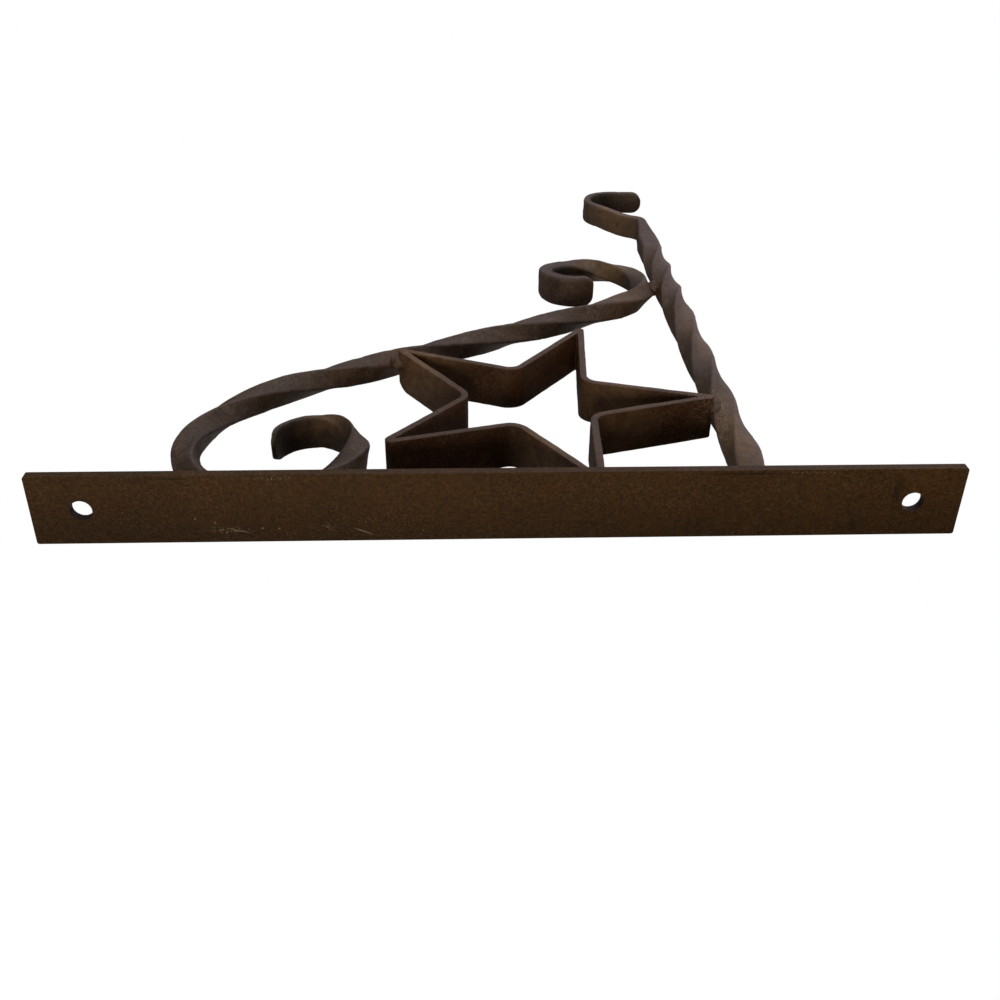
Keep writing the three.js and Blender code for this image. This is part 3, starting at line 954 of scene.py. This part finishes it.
def bar_patina():
    shades = ((0.042, 0.024, 0.015), (0.088, 0.056, 0.036), (0.145, 0.104, 0.078))
    rust = (0.120, 0.060, 0.020)
    return patina("bar_patina", shades, rust, rust_amount=0.3, gloss=0.5, speckle=0.35, edge_wear=0.6)


def strip_patina():
    shades = ((0.026, 0.010, 0.004), (0.060, 0.028, 0.011), (0.110, 0.062, 0.030))
    rust = (0.120, 0.040, 0.007)
    return patina("strip_patina", shades, rust, rust_amount=0.55, gloss=0.4, speckle=0.8, edge_wear=0.42)


def weld_patina():
    shades = ((0.040, 0.022, 0.012), (0.080, 0.048, 0.028), (0.130, 0.092, 0.064))
    rust = (0.130, 0.054, 0.013)
    return patina("weld_patina", shades, rust, rust_amount=0.7, gloss=0.4, speckle=0.7)


def dress(piece, material, slot, *replaced):
    piece.data.materials.clear()
    piece.data.materials.append(material)
    if replaced:
        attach(piece, "root")
        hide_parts(*replaced)


def emission_for_camera(nodes, strength):
    """Mixes a shader so that the camera sees plain white there."""
    tree = nodes.tree
    output = tree.nodes["Material Output"]
    path = tree.nodes.new("ShaderNodeLightPath")
    glow = tree.nodes.new("ShaderNodeEmission")
    glow.inputs["Strength"].default_value = strength
    mix = tree.nodes.new("ShaderNodeMixShader")
    tree.links.new(path.outputs["Is Camera Ray"], mix.inputs["Fac"])
    tree.links.new(nodes.shader.outputs["BSDF"], mix.inputs[1])
    tree.links.new(glow.outputs["Emission"], mix.inputs[2])
    tree.links.new(mix.outputs["Shader"], output.inputs["Surface"])


def make_floor():
    """A plain pale floor below the hanging bracket."""
    place = (STUDIO_MIDDLE[0], STUDIO_MIDDLE[1], -FLOOR_BELOW)
    bpy.ops.mesh.primitive_plane_add(size=FLOOR_SIZE, location=place)
    floor = bpy.context.object
    floor.name = "floor"
    nodes = Nodes("pale_floor")
    nodes.shader.inputs["Base Color"].default_value = (0.5, 0.5, 0.5, 1)
    nodes.shader.inputs["Roughness"].default_value = 0.9
    emission_for_camera(nodes, 1.0)
    floor.data.materials.append(nodes.material)


def make_world(strength, colour):
    """A pale surrounding for light, which the camera sees as plain white."""
    world = bpy.data.worlds.new("studio")
    bpy.context.scene.world = world
    world.use_nodes = True
    tree = world.node_tree
    output = tree.nodes["World Output"]
    soft = tree.nodes["Background"]
    soft.inputs["Color"].default_value = (*colour, 1)
    soft.inputs["Strength"].default_value = strength
    white = tree.nodes.new("ShaderNodeBackground")
    white.inputs["Color"].default_value = (1, 1, 1, 1)
    white.inputs["Strength"].default_value = 1.0
    path = tree.nodes.new("ShaderNodeLightPath")
    mix = tree.nodes.new("ShaderNodeMixShader")
    tree.links.new(path.outputs["Is Camera Ray"], mix.inputs["Fac"])
    tree.links.new(soft.outputs["Background"], mix.inputs[1])
    tree.links.new(white.outputs["Background"], mix.inputs[2])
    tree.links.new(mix.outputs["Shader"], output.inputs["Surface"])


def make_light(name, direction, size, power, colour):
    """A square soft light that shines on the bracket from a direction."""
    middle = Vector(STUDIO_MIDDLE)
    data = bpy.data.lights.new(name, "AREA")
    data.shape = "SQUARE"
    data.size = size
    data.energy = power
    data.color = colour
    light = bpy.data.objects.new(name, data)
    light.location = middle + Vector(direction).normalized() * LIGHT_DISTANCE
    light.rotation_euler = (middle - light.location).to_track_quat("-Z", "Y").to_euler()
    bpy.context.scene.collection.objects.link(light)


def make_camera():
    data = bpy.data.cameras.new("photo_camera")
    data.sensor_width = CAMERA_SENSOR
    data.lens = CAMERA_LENS
    data.clip_start = 0.01
    camera = bpy.data.objects.new("photo_camera", data)
    look = Vector(CAMERA_LOOK).normalized()
    right = look.cross(Vector(CAMERA_UP)).normalized()
    up = right.cross(look)
    turn = Matrix((right, up, -look)).transposed().to_4x4()
    camera.matrix_world = Matrix.Translation(Vector(CAMERA_PLACE)) @ turn
    bpy.context.scene.collection.objects.link(camera)
    bpy.context.scene.camera = camera


def make_lights():
    make_light("top_light", (0, 1, 0), 1.4, 14.5, (1.0, 0.96, 0.95))
    make_light("sheen_light", (0.85, 0.52, 0.04), 1.6, 5, (0.92, 0.84, 1.0))
    make_light("side_light", (0.8, 0.1, 0.6), 1.4, 5, (1.0, 0.86, 0.88))
    make_light("front_light", (-1, 0.12, -0.2), 0.6, 21, (1.0, 0.84, 0.66))
    make_light("right_light", (0, 0.3, 1), 1.4, 4, (1.0, 0.95, 0.95))
    make_light("back_light", (0.5, -0.8, 0.3), 1.4, 3, (1.0, 0.90, 0.80))


def weld_places(brace_path):
    """Middle of each weld bead, under the name of its solid."""
    star_out, star_up = star_middle()
    brace_tip = star_corner(BRACE_TIP)
    plate_tip = star_corner(PLATE_TIP)
    scroll_top = arm_scroll_top(brace_path)
    near_side = STRIP_WIDTH / 2 - WELD_BELOW_RIM
    return {
        "weld_arm_plate": (PLATE_FACE, 0, ARM_HEIGHT),
        "weld_brace_plate": (PLATE_FACE, 0, -WALL_SCROLL_BELOW_MIDDLE),
        "weld_star_plate": (PLATE_FACE, 0, plate_tip[1]),
        "weld_star_arm": (star_out, near_side, star_up + star_reach()),
        "weld_star_brace": (brace_tip[0], near_side, brace_tip[1]),
        "weld_brace_arm": (scroll_top[0], 0, scroll_top[1] + (BRACE_BAR + BRACE_TO_ARM) / 2),
    }


def add_arm(material, star_weld, brace_weld):
    piece = make_arm()
    roughen(piece, WELD_SPATTER, keep=near(star_weld, (26, 14, 14)))
    add_spots(piece, "stain", [(star_weld, (26, 16, 14)), (brace_weld, (22, 16, 12))])
    add_spots(piece, "tan", ARM_TAN)
    add_spots(piece, "flecks", ARM_FLECKS)
    dress(piece, material, "hanger_arm", "hanger_arm")


def add_brace(line, material, star_weld, arm_weld):
    piece = make_brace(line)
    roughen(piece, WELD_SPATTER, keep=near(star_weld, (20, 14, 22)))
    add_spots(piece, "stain", [(star_weld, (22, 16, 22)), (arm_weld, (22, 16, 12))])
    add_spots(piece, "tan", BRACE_TAN)
    dress(piece, material, "scroll_brace", "scroll_brace")


def add_star(material, arm_weld, brace_weld):
    piece = make_star()
    add_spots(piece, "stain", [(arm_weld, (22, 16, 20)), (brace_weld, (22, 16, 20))])
    add_spots(piece, "tan", STAR_TAN)
    add_spots(piece, "flecks", [(arm_weld, (22, 16, 20))])
    dress(piece, material, "star", "star")


def add_beads(material, places):
    for seed, (name, size) in enumerate(BEAD_SIZES.items(), FIRST_BEAD_SEED):
        bead = make_bead(name + "_bead", places[name], size, seed)
        dress(bead, material, "weld", name)


noise.seed_set(HAMMER_SEED)
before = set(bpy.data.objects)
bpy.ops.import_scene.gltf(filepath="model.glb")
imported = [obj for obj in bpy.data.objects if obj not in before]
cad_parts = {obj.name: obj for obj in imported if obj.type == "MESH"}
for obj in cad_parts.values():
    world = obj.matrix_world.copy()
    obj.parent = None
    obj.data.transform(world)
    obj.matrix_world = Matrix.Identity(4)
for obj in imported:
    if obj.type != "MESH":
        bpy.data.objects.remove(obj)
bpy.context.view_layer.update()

brace_path = fitted_brace_line(brace_seat())
welds = weld_places(brace_path)
bar_material = bar_patina()

dress(make_plate(), plate_patina(), "wall_plate")
add_arm(bar_material, welds["weld_star_arm"], welds["weld_brace_arm"])
add_brace(brace_path, bar_material, welds["weld_star_brace"], welds["weld_brace_arm"])
add_star(strip_patina(), welds["weld_star_arm"], welds["weld_star_brace"])
add_beads(weld_patina(), welds)

make_floor()
make_world(0.012, (0.93, 0.95, 1.0))
make_lights()
bpy.context.scene.view_settings.view_transform = "Standard"
make_camera()
